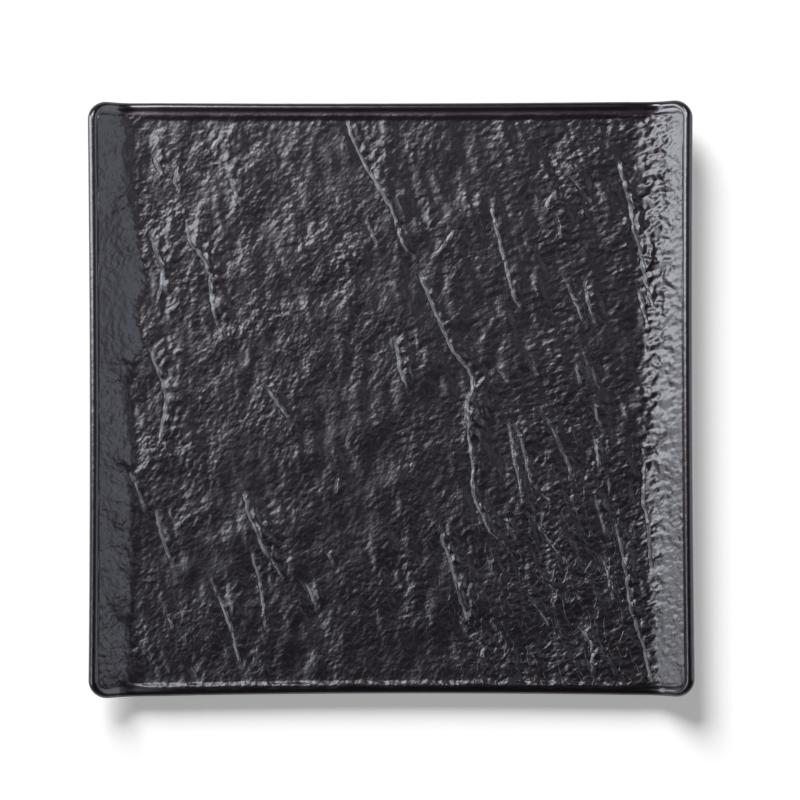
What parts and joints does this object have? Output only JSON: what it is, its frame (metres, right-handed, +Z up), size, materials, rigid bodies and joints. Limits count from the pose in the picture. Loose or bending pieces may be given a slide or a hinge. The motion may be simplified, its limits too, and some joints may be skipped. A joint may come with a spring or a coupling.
{
  "type": "square dinner plate",
  "caption": "Square dinner plate with two raised curved wings, a stepped lip at front and back, a beaded rim and a slate-like relief in the well.",
  "frame": {"origin": "on the table, under the centre of the plate and of its standing rim", "axes": "+Z up out of the well; +X across the two raised wings, to the right in the picture; +Y towards the back lip, the top edge in the picture"},
  "size_m": [0.2698, 0.2667, 0.0186],
  "materials": {
    "black_glaze": "satin",
    "bare_foot": "matte"
  },
  "bodies": {
    "root": {"plate_body": "black_glaze", "foot_ring": "bare_foot"}
  },
  "joints": []
}
